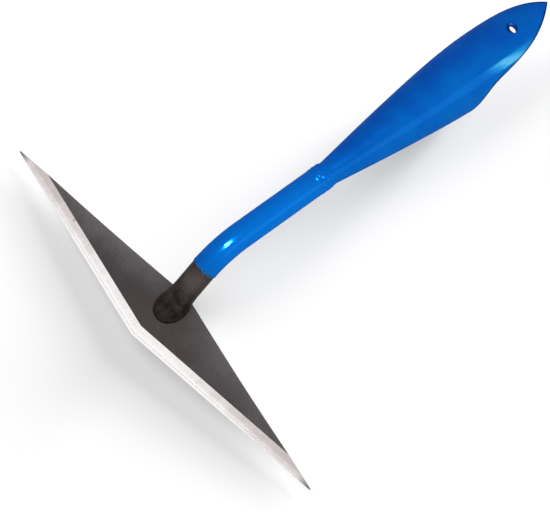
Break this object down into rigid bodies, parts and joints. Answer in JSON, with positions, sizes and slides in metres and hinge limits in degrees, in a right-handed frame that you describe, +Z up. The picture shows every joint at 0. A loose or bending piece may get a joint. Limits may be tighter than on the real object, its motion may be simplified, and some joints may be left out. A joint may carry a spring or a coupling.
{
  "type": "diamond hoe head",
  "caption": "Steel push hoe head: a flat diamond blade ground along its front edges, welded to a cranked round bar with a rolled, dip-coated handle socket.",
  "frame": {"origin": "middle of the underside of the outline, at table height, under the middle of the tool as it lies on a table", "axes": "+X along the blade's long axis, +Y from the blade's front corner to the socket's pointed tongue, +Z up from the table"},
  "size_m": [0.21, 0.243, 0.0303],
  "materials": {
    "blade_steel": "dark mill scale, with a bright ground bevel along both front edges",
    "bar_steel": "dark brown mill scale on round steel bar",
    "weld_steel": "rippled dark weld bead",
    "blue_film": "glossy blue dip film",
    "blue_steel": "steel under glossy blue dip film"
  },
  "bodies": {
    "root": {"blade": "blade_steel", "bar": "bar_steel", "foot_weld": "weld_steel", "bar_film": "blue_film", "neck_ring": "blue_steel", "socket": "blue_steel"}
  },
  "joints": []
}
